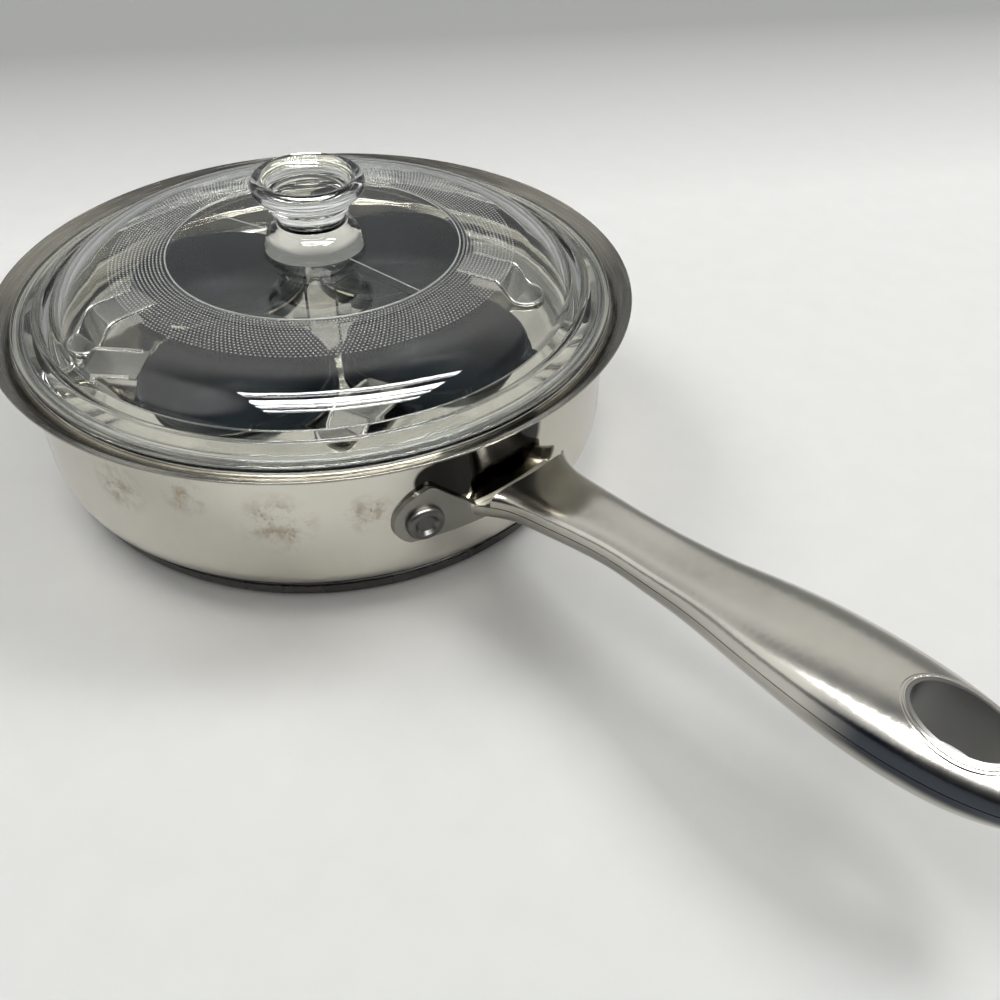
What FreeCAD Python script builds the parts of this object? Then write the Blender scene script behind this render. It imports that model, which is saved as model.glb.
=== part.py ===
import FreeCAD, Part

import math
import os

import Sketcher
from FreeCAD import Placement, Rotation, Vector

# Egg poacher pan: a shallow pan on a capped base, a hollow riveted handle,
# a tray that hangs on the lip and carries four cups, and a moulded glass lid.
# The origin is on the pan's axis at the underside of the base, and the handle
# runs along +X. Lengths are millimetres, angles are degrees.
SIZES = {
    # Pan
    "wall_radius": 106.0,
    "rim_height": 63.0,
    "lip_reach": 9.0,
    "pan_sheet": 0.9,
    "corner_radius": 14.0,
    "seat_reach": 1.9,
    "seat_depth": 4.4,
    "seat_bend_radius": 1.2,
    # Base
    "base_height": 5.2,
    "cap_inset": 5.7,
    "cap_sheet": 0.8,
    "cap_corner_radius": 2.6,
    "cap_gap": 0.4,
    # Bracket and rivet
    "bracket_sheet": 1.6,
    "ear_reach": 9.1,
    "ear_rise": 12.2,
    "ear_drop": 7.6,
    "ear_slope_run": 19.2,
    "strap_height": 5.1,
    "strap_reach": 15.0,
    "rivet_angle": 20.2,
    "rivet_drop": 29.5,
    "rivet_shank_radius": 2.6,
    "rivet_head_radius": 6.4,
    "rivet_head_height": 2.4,
    "rivet_tail_height": 1.6,
    "rivet_gap": 0.5,
    "rivet_play": 0.3,
    # Handle
    "handle_length": 180.0,
    "handle_width": 36.0,
    "handle_depth": 23.6,
    "handle_drop": 29.7,
    "handle_rise": 7.4,
    "handle_sheet": 1.2,
    "handle_dip": 0.8,
    "seam_gap": 0.3,
    "scoop_gap": 4.0,
    "hole_inset": 29.0,
    "hole_length": 27.0,
    "hole_width": 18.6,
    "ferrule_sheet": 1.0,
    # Tray
    "tray_sheet": 0.8,
    "tray_drop": 13.6,
    "tray_wall_gap": 1.0,
    "tray_flange_gap": 0.5,
    "tray_corner_radius": 3.0,
    "cup_bridge": 3.9,
    "collar_height": 1.0,
    "cup_first_angle": 18.0,
    # Lift loop
    "loop_height": 18.0,
    "loop_half_width": 6.0,
    "loop_strip_width": 7.0,
    "loop_sheet": 1.0,
    "loop_foot": 5.0,
    "loop_angle": 57.0,
    # Cups
    "cup_clearance": 0.4,
    "cup_ledge_width": 2.0,
    "cup_rise": 6.0,
    "cup_depth": 21.0,
    "cup_sheet": 1.0,
    # Cup tabs
    "tab_sheet": 0.8,
    "tab_gap": 0.4,
    "tab_bend_radius": 2.2,
    # Lid
    "lid_gap": 0.7,
    "lid_edge": 2.6,
    "lid_glass": 4.0,
    "skirt_gap": 1.7,
    "skirt_depth": 4.5,
    "skirt_width": 3.0,
    "flange_width": 13.7,
    "dome_foot_height": 5.4,
    "disc_height": 18.4,
    "shoulder_width": 40.9,
    "disc_step": 0.5,
    "knob_radius": 19.6,
    "knob_height": 25.6,
    # Room left between curved faces that lie against each other
    "fit_gap": 0.1,
    # Allowance by which every cut runs past the metal that it cuts
    "cut_overrun": 6.0,
}

CUP_COUNT = 4
# Circle of the cups' axes, as a share of the radius inside the tray's wall
CUP_CIRCLE_SHARE = 0.484
# Half of the distance between neighbouring cups, as a share of that circle's radius
HALF_PITCH_SHARE = math.sin(math.pi / CUP_COUNT)
# Bend between the cup's floor and wall, as a share of its depth below the ledge
CUP_BOWL_SHARE = 0.905
# Way in which each cup's tab points, counted from +X
TAB_ANGLES = (287, 20, 273, 223)
FULL_TURN = 360.0

# A bulge share is an arc's rise over its chord, outward where it is positive
QUARTER_BULGE_SHARE = math.tan(math.pi / 8) / 2

# Handle sections: place along the length, half width and half depths above and
# below the seam, climb of the seam, and how square the section is
HANDLE_SECTION_SHARES = (
    (-0.033, 1.361, 0.537, 0.683, -0.018, 3),
    (0.006, 1.122, 0.529, 0.674, -0.006, 3),
    (0.033, 0.922, 0.515, 0.655, 0.004, 3),
    (0.067, 0.783, 0.492, 0.626, 0.039, 3),
    (0.111, 0.717, 0.477, 0.607, 0.131, 3),
    (0.178, 0.656, 0.462, 0.588, 0.330, 3),
    (0.256, 0.606, 0.447, 0.569, 0.516, 3),
    (0.344, 0.628, 0.477, 0.607, 0.631, 3),
    (0.433, 0.689, 0.552, 0.702, 0.782, 2.9),
    (0.522, 0.828, 0.641, 0.816, 0.937, 2.75),
    (0.611, 0.939, 0.738, 0.940, 1.025, 2.6),
    (0.700, 0.989, 0.828, 1.054, 1.018, 2.5),
    (0.778, 0.972, 0.858, 1.092, 1.024, 2.45),
    (0.844, 0.894, 0.850, 1.082, 1.023, 2.4),
    (0.900, 0.761, 0.783, 0.997, 1.022, 2.3),
    (0.944, 0.589, 0.656, 0.835, 1.021, 2.2),
    (0.978, 0.378, 0.447, 0.569, 1.003, 2.1),
    (0.994, 0.200, 0.239, 0.304, 0.971, 2.0),
    (1.000, 0.089, 0.112, 0.142, 0.943, 2.0),
)
HOLLOW_SECTION_COUNT = 16
ARCH_STEP_COUNT = 14

# Ear outline outward from the rivet, from its inner top corner round to its foot
EAR_OUTLINE_SHARES = (
    (-0.43, 1.00, -0.18),
    (-0.04, 1.00, -0.08),
    (0.81, 0.50, -0.10),
    (1.00, 0.08, -0.16),
)
EAR_FOOT_SHARE = 0.49

# Rivet head outline from its dished middle: radius, height, bulge to the next
RIVET_HEAD_SHARES = (
    (0.00, 0.55, 0.00),
    (0.45, 0.55, 0.00),
    (0.62, 1.00, 0.00),
    (0.76, 1.00, -0.18),
    (1.00, 0.40, 0.00),
    (1.00, 0.00, 0.00),
)

# Knob outline from the middle of its top down to the disc
KNOB_OUTLINE_SHARES = (
    (0.00, 0.81, 0.00),
    (0.56, 0.81, -0.10),
    (0.82, 0.98, 0.12),
    (0.91, 1.00, 0.20),
    (1.00, 0.87, 0.20),
    (0.80, 0.70, 0.00),
    (0.77, 0.65, 0.15),
    (0.67, 0.52, 0.00),
    (0.62, 0.45, 0.00),
    (0.60, 0.41, -0.05),
    (0.63, 0.35, 0.12),
    (0.87, 0.10, 0.00),
    (0.92, 0.00, 0.00),
)
# Dome: place of the shoulder between the disc and the foot, and its two arcs
SHOULDER_SHARES = (0.57, 0.11)
DOME_BULGE_SHARES = (0.010, 0.132)
# Flange rings: place between the foot and the edge, height, bulge to the next
FLANGE_OUTLINE_SHARES = (
    (0.20, 1.50, 0.12),
    (0.46, 1.80, 0.00),
    (0.68, 1.30, -0.08),
    (0.95, 1.00, 0.18),
    (1.00, 0.80, 0.00),
    (1.00, 0.20, 0.00),
    (0.98, 0.00, 0.00),
)
# Share of the glass by which the inner dome lies in and down from the outer one
FOOT_INSET_SHARES = (0.85, 0.60)
SHOULDER_INSET_SHARES = (0.15, 0.97)
# Width of a cup's tab and its level, sloping and end lengths, as shares of the cup's radius
TAB_WIDTH_SHARE = 0.52
TAB_LENGTH_SHARES = (0.57, 0.22, 0.29)
TAB_BEND_SHARE = 0.38
TAB_ROUND_SHARE = 0.48

doc = FreeCAD.newDocument("egg_poacher_pan")
sheet = doc.addObject("Spreadsheet::Sheet", "Sizes")
for row, (alias, number) in enumerate(SIZES.items(), start=1):
    sheet.set(f"A{row}", alias)
    sheet.set(f"B{row}", str(number))
    sheet.setAlias(f"B{row}", alias)
doc.recompute()


class Size:
    """A length with its value and the sheet expression that gives it."""

    def __init__(self, value, text):
        self.value = value
        self.text = text

    def __add__(self, other):
        return Size(self.value + other.value, f"({self.text} + {other.text})")

    def __sub__(self, other):
        return Size(self.value - other.value, f"({self.text} - {other.text})")

    def __neg__(self):
        return Size(-self.value, f"(-{self.text})")

    def times(self, share):
        return Size(self.value * share, f"({self.text} * {share!r})")


def size(alias):
    return Size(float(sheet.get(alias)), f"Sizes.{alias}")


ZERO = Size(0.0, "0")
overrun = size("cut_overrun")
fit_gap = size("fit_gap")


def distance(first, second):
    """Chord between two outline points, as a value and as an expression."""
    across = second[0] - first[0]
    along = second[1] - first[1]
    text = f"sqrt(({across.text})^2 + ({along.text})^2)"
    return Size(math.hypot(across.value, along.value), text)


def new_body(label):
    body = doc.addObject("PartDesign::Body", label)
    body.Label = label
    return body


def new_sketch(body, name, plane):
    sketch = body.newObject("Sketcher::SketchObject", name)
    support = next(item for item in body.Origin.OriginFeatures if item.Role == plane)
    sketch.AttachmentSupport = [(support, "")]
    sketch.MapMode = "FlatFace"
    return sketch


def bind(sketch, kind, *terms):
    """Adds a dimension whose last term is a Size, and ties it to the sheet."""
    index = sketch.addConstraint(Sketcher.Constraint(kind, *terms[:-1], terms[-1].value))
    sketch.setExpression(f"Constraints[{index}]", terms[-1].text)


def pin(sketch, item, end, across, along):
    """Holds one end of a line or arc at its two distances from the origin."""
    for kind, axis, place in (("DistanceX", -2, across), ("DistanceY", -1, along)):
        if place is ZERO:
            sketch.addConstraint(Sketcher.Constraint("PointOnObject", item, end, axis))
        else:
            bind(sketch, kind, -1, 1, item, end, place)


def outline(sketch, points):
    """Closed outline of lines and arcs through points (across, along, bulge)."""
    joints = []
    for first, second in zip(points, points[1:] + points[:1]):
        start = Vector(first[0].value, first[1].value, 0)
        finish = Vector(second[0].value, second[1].value, 0)
        bulge = first[2]
        if not bulge:
            item = sketch.addGeometry(Part.LineSegment(start, finish))
            joints.append((item, 1, 2))
            continue
        chord = distance(first, second)
        radius = chord.times((1 + 4 * bulge**2) / (8 * abs(bulge)))
        side = Vector(start.y - finish.y, finish.x - start.x, 0)
        side.normalize()
        rise = bulge * chord.value - math.copysign(radius.value, bulge)
        centre = (start + finish) * 0.5 + side * rise
        ends = (start, finish) if bulge < 0 else (finish, start)
        angles = [math.atan2(end.y - centre.y, end.x - centre.x) for end in ends]
        if angles[1] < angles[0]:
            angles[1] += 2 * math.pi
        circle = Part.Circle(centre, Vector(0, 0, 1), radius.value)
        item = sketch.addGeometry(Part.ArcOfCircle(circle, *angles))
        bind(sketch, "Radius", item, radius)
        joints.append((item, 1, 2) if bulge < 0 else (item, 2, 1))
    for joint, following in zip(joints, joints[1:] + joints[:1]):
        match = Sketcher.Constraint("Coincident", joint[0], joint[2], following[0], following[1])
        sketch.addConstraint(match)
    for joint, point in zip(joints, points):
        pin(sketch, joint[0], joint[1], point[0], point[1])


def circle(sketch, across, along, radius):
    centre = Vector(across.value, along.value, 0)
    item = sketch.addGeometry(Part.Circle(centre, Vector(0, 0, 1), radius.value))
    bind(sketch, "Radius", item, radius)
    pin(sketch, item, 3, across, along)


def revolve(body, name, points):
    """Solid of revolution about the Z axis from an outline in radius and height."""
    sketch = new_sketch(body, name + "_outline", "XZ_Plane")
    outline(sketch, points)
    turn = body.newObject("PartDesign::Revolution", name)
    turn.Profile = sketch
    turn.ReferenceAxis = (sketch, ["V_Axis"])
    turn.Angle = FULL_TURN
    doc.recompute()
    return turn


def pad(body, sketch, name, length, side="One side"):
    block = body.newObject("PartDesign::Pad", name)
    block.Profile = sketch
    block.SideType = side
    block.setExpression("Length", length.text)
    doc.recompute()
    return block


def ring_edges(feature, places):
    """Names of the round edges that lie at the given radii and heights."""
    names = []
    for index, edge in enumerate(feature.Shape.Edges, start=1):
        curve = edge.Curve
        if curve.TypeId != "Part::GeomCircle":
            continue
        for radius, height in places:
            near_radius = math.isclose(curve.Radius, radius.value, abs_tol=1e-4)
            if near_radius and math.isclose(curve.Center.z, height.value, abs_tol=1e-4):
                names.append(f"Edge{index}")
    return names


def straight_edges(feature, direction, places):
    """Names of the straight edges along a direction, by their X and Z."""
    names = []
    for index, edge in enumerate(feature.Shape.Edges, start=1):
        if edge.Curve.TypeId != "Part::GeomLine" or not edge.tangentAt(0).cross(direction).Length < 1e-6:
            continue
        middle = edge.CenterOfMass
        for across, along in places:
            near_across = math.isclose(middle.x, across.value, abs_tol=1e-4)
            if near_across and (along is None or math.isclose(middle.z, along.value, abs_tol=1e-4)):
                names.append(f"Edge{index}")
    return names


def fillet(body, feature, name, edges, radius):
    round_off = body.newObject("PartDesign::Fillet", name)
    round_off.Base = (feature, edges)
    round_off.setExpression("Radius", radius.text)
    doc.recompute()
    return round_off


def place(body, across=ZERO, sideways=ZERO, height=ZERO, turn=None):
    """Puts a body at a point, turned about the Z axis by an expression in degrees."""
    body.Placement = Placement(Vector(0, 0, 0), Rotation(Vector(0, 0, 1), 1.0))
    for axis, length in (("x", across), ("y", sideways), ("z", height)):
        body.setExpression(f"Placement.Base.{axis}", length.text)
    body.setExpression("Placement.Rotation.Angle", turn or "0deg")


wall_radius = size("wall_radius")
lip_radius = wall_radius + size("lip_reach")
rim_height = size("rim_height")
pan_sheet = size("pan_sheet")
wall_inside = wall_radius - pan_sheet
seat_radius = wall_radius + size("seat_reach")
seat_height = rim_height - size("seat_depth")
base_height = size("base_height")
cap_radius = wall_radius - size("cap_inset")
bracket_back = wall_radius + fit_gap
bracket_face = bracket_back + size("bracket_sheet")
rivet_height = rim_height - size("rivet_drop")
rivet_shank_radius = size("rivet_shank_radius")


def drill_rivet_hole(body):
    """Cuts the radial hole for the rivet's shank."""
    sketch = new_sketch(body, f"{body.Label}_rivet_hole", "YZ_Plane")
    sketch.AttachmentOffset = Placement(Vector(0, 0, 0), Rotation(Vector(0, 1, 0), 1.0))
    sketch.setExpression("AttachmentOffset.Rotation.Angle", "-Sizes.rivet_angle * 1deg")
    circle(sketch, ZERO, rivet_height, rivet_shank_radius + size("rivet_play"))
    bore = body.newObject("PartDesign::Pocket", f"{body.Label}_rivet_bore")
    bore.Profile = sketch
    bore.Reversed = True
    bore.setExpression("Length", (bracket_face + overrun).text)
    doc.recompute()


def make_pan_shell():
    corner = size("corner_radius")
    floor_radius = wall_radius - corner
    body = new_body("pan_shell")
    shell = revolve(body, "pan_shell_turn", [
        (ZERO, base_height, 0),
        (floor_radius, base_height, -QUARTER_BULGE_SHARE),
        (wall_radius, base_height + corner, 0),
        (wall_radius, seat_height - pan_sheet, 0),
        (seat_radius, seat_height - pan_sheet, 0),
        (lip_radius, rim_height - pan_sheet, 0),
        (lip_radius, rim_height, 0),
        (seat_radius, seat_height, 0),
        (wall_inside, seat_height, 0),
        (wall_inside, base_height + corner, QUARTER_BULGE_SHARE),
        (floor_radius, base_height + pan_sheet, 0),
        (ZERO, base_height + pan_sheet, 0),
    ])
    bend = size("seat_bend_radius")
    lower_bend = ring_edges(shell, [(wall_radius, seat_height - pan_sheet)])
    fillet(body, shell, "pan_shell_neck", lower_bend, bend)
    drill_rivet_hole(body)
    return body


def make_base_core():
    body = new_body("base_core")
    cap_sheet = size("cap_sheet")
    core_radius = cap_radius - cap_sheet - fit_gap
    sketch = new_sketch(body, "base_core_outline", "XY_Plane")
    circle(sketch, ZERO, ZERO, core_radius)
    disc = pad(body, sketch, "base_core_disc", base_height - cap_sheet)
    lower_edge = ring_edges(disc, [(core_radius, ZERO)])
    fillet(body, disc, "base_core_edge", lower_edge, size("cap_corner_radius") - cap_sheet)
    place(body, height=cap_sheet)
    return body


def make_base_cap():
    body = new_body("base_cap")
    cap_sheet = size("cap_sheet")
    corner = size("cap_corner_radius")
    cap_top = base_height - size("cap_gap")
    inside_radius = cap_radius - cap_sheet
    revolve(body, "base_cap_turn", [
        (ZERO, ZERO, 0),
        (cap_radius - corner, ZERO, -QUARTER_BULGE_SHARE),
        (cap_radius, corner, 0),
        (cap_radius, cap_top, 0),
        (inside_radius, cap_top, 0),
        (inside_radius, corner, QUARTER_BULGE_SHARE),
        (cap_radius - corner, cap_sheet, 0),
        (ZERO, cap_sheet, 0),
    ])
    return body


def make_bracket():
    """Strap bent to the pan's wall, with one tall ear beside the handle."""
    body = new_body("handle_bracket")
    reach = size("ear_reach")
    rise = size("ear_rise")
    spread = Size(
        bracket_face.value * math.sin(math.radians(sheet.get("rivet_angle"))),
        f"({bracket_face.text} * sin(Sizes.rivet_angle * 1deg))",
    )
    top = rivet_height + rise
    bottom = rivet_height - size("ear_drop")
    strap_top = bottom + size("strap_height")
    points = [
        (size("strap_reach"), bottom, 0),
        (size("strap_reach"), strap_top, 0),
        (size("ear_slope_run") - spread, strap_top, 0),
    ]
    for reach_share, rise_share, bulge in EAR_OUTLINE_SHARES:
        points.append((-(spread + reach.times(reach_share)), rivet_height + rise.times(rise_share), bulge))
    points.append((-(spread + reach.times(EAR_FOOT_SHARE)), bottom, 0))
    sketch = new_sketch(body, "bracket_outline", "YZ_Plane")
    outline(sketch, points)
    pad(body, sketch, "bracket_block", bracket_face + overrun)
    for name, near, far in (
        ("bracket_inside", ZERO, bracket_back),
        ("bracket_outside", bracket_face, bracket_face + spread + overrun),
    ):
        section = new_sketch(body, name + "_section", "XZ_Plane")
        outline(section, [
            (near, bottom - overrun, 0),
            (far, bottom - overrun, 0),
            (far, top + overrun, 0),
            (near, top + overrun, 0),
        ])
        groove = body.newObject("PartDesign::Groove", name)
        groove.Profile = section
        groove.ReferenceAxis = (section, ["V_Axis"])
        groove.Angle = FULL_TURN
        doc.recompute()
    drill_rivet_hole(body)
    return body


def make_rivet():
    """Solid rivet along its own X axis, set radially through ear and wall."""
    body = new_body("bracket_rivet")
    head_radius = size("rivet_head_radius")
    head_height = size("rivet_head_height")
    tail_face = wall_inside - size("rivet_gap")
    tail_end = tail_face - size("rivet_tail_height")
    points = [(tail_end, ZERO, 0)]
    for radius_share, height_share, bulge in RIVET_HEAD_SHARES:
        radius = head_radius.times(radius_share) if radius_share else ZERO
        points.append((bracket_face + head_height.times(height_share), radius, bulge))
    points += [
        (bracket_face, rivet_shank_radius, 0),
        (tail_face, rivet_shank_radius, 0),
        (tail_face, head_radius, 0),
        (tail_end, head_radius, 0),
    ]
    sketch = new_sketch(body, "rivet_outline", "XZ_Plane")
    outline(sketch, points)
    turn = body.newObject("PartDesign::Revolution", "rivet_turn")
    turn.Profile = sketch
    turn.ReferenceAxis = (sketch, ["H_Axis"])
    turn.Angle = FULL_TURN
    doc.recompute()
    place(body, height=rivet_height, turn="-Sizes.rivet_angle * 1deg")
    return body


def handle_seam(shares):
    """Point of the seam line between the two halves of the handle."""
    along, width, above, below, climb, square = shares
    reach = wall_radius.value + along * sheet.get("handle_length")
    root_height = rim_height.value - sheet.get("handle_drop")
    return Vector(reach, 0, root_height + climb * sheet.get("handle_rise"))


def handle_arch(shares, side, inset):
    """Points over one half of the handle, drawn in by the inset."""
    along, width, above, below, climb, square = shares
    half_width = width * sheet.get("handle_width") / 2 - inset
    depth = (above if side > 0 else below) * sheet.get("handle_depth") / 2 - inset
    dip = sheet.get("handle_dip") * (square - 2) if side > 0 else 0
    seam = handle_seam(shares) + Vector(0, 0, side * sheet.get("seam_gap") / 2)
    points = []
    for step in range(ARCH_STEP_COUNT + 1):
        angle = math.pi * step / ARCH_STEP_COUNT
        cosine = math.cos(angle)
        sine = math.sin(angle) if step < ARCH_STEP_COUNT else 0
        stretch = (abs(cosine) ** square + sine**square) ** (-1 / square)
        across = stretch * cosine
        rise = stretch * sine
        hollow = dip * (1 - min(across**2, 1)) ** 2
        points.append(seam + Vector(0, half_width * across, side * (depth * rise - hollow)))
    return points


def handle_half(rows, side, inset, sink):
    """Solid half of the handle, whose sides run on past the seam by the sink."""
    upright = Vector(0, 0, side)
    wires = []
    for shares in rows:
        points = handle_arch(shares, side, inset)
        if sink:
            points = [points[0] - upright * sink, *points, points[-1] - upright * sink]
        arch = Part.BSplineCurve()
        arch.interpolate(Points=points, Parameters=list(range(len(points))))
        wires.append(Part.Wire([arch.toShape(), Part.makeLine(points[-1], points[0])]))
    return Part.makeLoft(wires, True)


def oval_prism(length, width):
    """Upright prism through the handle at the hang hole."""
    reach = wall_radius.value + sheet.get("handle_length") - sheet.get("hole_inset")
    tall = rim_height.value + lip_radius.value
    ellipse = Part.Ellipse(Vector(reach, 0, -tall), length / 2, width / 2)
    return Part.Face(Part.Wire(ellipse.toShape())).extrude(Vector(0, 0, 2 * tall))


def post(radius):
    """Upright cylinder about the pan's axis, taller than the handle."""
    tall = rim_height.value + lip_radius.value
    return Part.makeCylinder(radius, 2 * tall, Vector(0, 0, -tall))


def make_handle():
    """Two pressed halves that meet on the seam, and the sleeve of the hang hole."""
    fit = sheet.get("fit_gap")
    hole_length = sheet.get("hole_length")
    hole_width = sheet.get("hole_width")
    gauge = 2 * sheet.get("ferrule_sheet")
    slot = oval_prism(hole_length + gauge + 2 * fit, hole_width + gauge + 2 * fit)
    sleeve = oval_prism(hole_length + gauge, hole_width + gauge)
    sleeve = sleeve.cut(oval_prism(hole_length, hole_width))
    hollow_rows = HANDLE_SECTION_SHARES[:HOLLOW_SECTION_COUNT]
    roots = {
        "handle_upper_shell": (1, bracket_face.value + sheet.get("scoop_gap")),
        "handle_lower_shell": (-1, bracket_face.value + fit),
    }
    shapes = {}
    for label, (side, root_radius) in roots.items():
        outside = handle_half(HANDLE_SECTION_SHARES, side, 0, 0)
        inside = handle_half(hollow_rows, side, sheet.get("handle_sheet"), overrun.value)
        shapes[label] = outside.cut(inside).cut(slot).cut(post(root_radius))
        beyond = handle_half(HANDLE_SECTION_SHARES, side, 0, rim_height.value)
        sleeve = sleeve.common(beyond)
    shapes["hang_hole_ferrule"] = sleeve
    for label, shape in shapes.items():
        piece = doc.addObject("Part::Feature", label)
        piece.Label = label
        piece.Shape = shape.Solids[0] if len(shape.Solids) == 1 else shape
        piece.Placement = Placement()
        yield piece


tray_sheet = size("tray_sheet")
tray_height = seat_height - size("tray_drop")
tray_outside = wall_inside - size("tray_wall_gap")
tray_face = tray_outside - tray_sheet
cup_circle_radius = tray_face.times(CUP_CIRCLE_SHARE)
collar_radius = cup_circle_radius.times(HALF_PITCH_SHARE) - size("cup_bridge").times(0.5)
cup_hole_radius = collar_radius - tray_sheet


def make_tray_plate():
    body = new_body("tray_plate")
    corner = size("tray_corner_radius")
    bottom = tray_height - tray_sheet
    flange_radius = seat_radius - size("tray_flange_gap")
    flange_top = seat_height + tray_sheet
    revolve(body, "tray_turn", [
        (ZERO, bottom, 0),
        (tray_outside - corner, bottom, -QUARTER_BULGE_SHARE),
        (tray_outside, bottom + corner, 0),
        (tray_outside, seat_height, 0),
        (flange_radius, seat_height, 0),
        (flange_radius, flange_top, 0),
        (tray_face, flange_top, 0),
        (tray_face, bottom + corner, QUARTER_BULGE_SHARE),
        (tray_outside - corner, tray_height, 0),
        (ZERO, tray_height, 0),
    ])
    collar_sketch = new_sketch(body, "collar_outline", "XY_Plane")
    collar_sketch.setExpression("AttachmentOffset.Base.z", bottom.text)
    circle(collar_sketch, cup_circle_radius, ZERO, collar_radius)
    collar = pad(body, collar_sketch, "collar", tray_sheet + size("collar_height"))
    hole_sketch = new_sketch(body, "cup_hole_outline", "XY_Plane")
    hole_sketch.setExpression("AttachmentOffset.Base.z", bottom.text)
    circle(hole_sketch, cup_circle_radius, ZERO, cup_hole_radius)
    hole = body.newObject("PartDesign::Pocket", "cup_hole")
    hole.Profile = hole_sketch
    hole.Reversed = True
    hole.setExpression("Length", (tray_sheet + size("collar_height") + overrun).text)
    doc.recompute()
    ring = body.newObject("PartDesign::PolarPattern", "cup_hole_ring")
    ring.Originals = [collar, hole]
    ring.Axis = (hole_sketch, ["N_Axis"])
    ring.Angle = FULL_TURN
    ring.Occurrences = CUP_COUNT
    body.Tip = ring
    place(body, turn="Sizes.cup_first_angle * 1deg")
    return body


def make_lift_loop():
    """Bent strip with two feet that stands at the middle of the tray."""
    body = new_body("tray_lift_loop")
    half = size("loop_half_width")
    gauge = size("loop_sheet")
    height = size("loop_height")
    shoulder = height - half
    toe = half + size("loop_foot")
    inner = half - gauge
    sketch = new_sketch(body, "loop_outline", "XZ_Plane")
    outline(sketch, [
        (-toe, ZERO, 0),
        (-inner, ZERO, 0),
        (-inner, shoulder, QUARTER_BULGE_SHARE),
        (ZERO, shoulder + inner, QUARTER_BULGE_SHARE),
        (inner, shoulder, 0),
        (inner, ZERO, 0),
        (toe, ZERO, 0),
        (toe, gauge, 0),
        (half, gauge, 0),
        (half, shoulder, -QUARTER_BULGE_SHARE),
        (ZERO, height, -QUARTER_BULGE_SHARE),
        (-half, shoulder, 0),
        (-half, gauge, 0),
        (-toe, gauge, 0),
    ])
    pad(body, sketch, "loop_strip", size("loop_strip_width"), "Symmetric")
    place(body, height=tray_height, turn="Sizes.loop_angle * 1deg")
    return body


cup_radius = cup_hole_radius - size("cup_clearance")
cup_ledge_radius = cup_radius + size("cup_ledge_width")
cup_rise = size("cup_rise")
cup_sheet = size("cup_sheet")
cup_rest_height = tray_height + size("collar_height")


def place_on_cup_circle(body, index, turn):
    """Sets a cup or its tab at its hole in the tray."""
    way = f"(Sizes.cup_first_angle + {index} * {FULL_TURN} / {CUP_COUNT}) * 1deg"
    across = Size(0.0, f"{cup_circle_radius.text} * cos({way})")
    sideways = Size(0.0, f"{cup_circle_radius.text} * sin({way})")
    place(body, across, sideways, cup_rest_height, turn)


def make_cup(index):
    body = new_body(f"egg_cup_{index + 1}")
    depth = size("cup_depth")
    bowl = depth.times(CUP_BOWL_SHARE)
    revolve(body, f"cup_turn_{index + 1}", [
        (ZERO, -depth, 0),
        (cup_radius - bowl, -depth, -QUARTER_BULGE_SHARE),
        (cup_radius, bowl - depth, 0),
        (cup_radius, ZERO, 0),
        (cup_ledge_radius, ZERO, 0),
        (cup_ledge_radius, cup_sheet, 0),
        (cup_radius, cup_sheet, 0),
        (cup_radius, cup_rise, 0),
        (cup_radius - cup_sheet, cup_rise, 0),
        (cup_radius - cup_sheet, bowl - depth, QUARTER_BULGE_SHARE),
        (cup_radius - bowl, cup_sheet - depth, 0),
        (ZERO, cup_sheet - depth, 0),
    ])
    place_on_cup_circle(body, index, None)
    return body


def make_tab(index):
    """Strip that lies on the cup's rim, steps down and ends above the tray."""
    body = new_body(f"cup_tab_{index + 1}")
    gauge = size("tab_sheet")
    start = cup_radius - cup_sheet
    level, slope, end = (cup_radius.times(share) for share in TAB_LENGTH_SHARES)
    width = cup_radius.times(TAB_WIDTH_SHARE)
    bend_start = cup_radius + level
    bend_end = bend_start + slope
    tip = bend_end + end
    low = size("tab_gap") - size("collar_height")
    shift = gauge.times(TAB_BEND_SHARE)
    high = cup_rise
    sketch = new_sketch(body, f"tab_outline_{index + 1}", "XZ_Plane")
    outline(sketch, [
        (start, high, 0),
        (bend_start, high, 0),
        (bend_end, low, 0),
        (tip, low, 0),
        (tip, low + gauge, 0),
        (bend_end + shift, low + gauge, 0),
        (bend_start + shift, high + gauge, 0),
        (start, high + gauge, 0),
    ])
    strip = pad(body, sketch, f"tab_strip_{index + 1}", width, "Symmetric")
    corners = straight_edges(strip, Vector(0, 0, 1), [(tip, None)])
    rounded = fillet(body, strip, f"tab_tip_{index + 1}", corners, width.times(TAB_ROUND_SHARE))
    bends = straight_edges(rounded, Vector(0, 1, 0), [
        (bend_start, high),
        (bend_end, low),
        (bend_end + shift, low + gauge),
        (bend_start + shift, high + gauge),
    ])
    fillet(body, rounded, f"tab_bends_{index + 1}", bends, size("tab_bend_radius"))
    place_on_cup_circle(body, index, f"{TAB_ANGLES[index]}deg")
    return body


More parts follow.
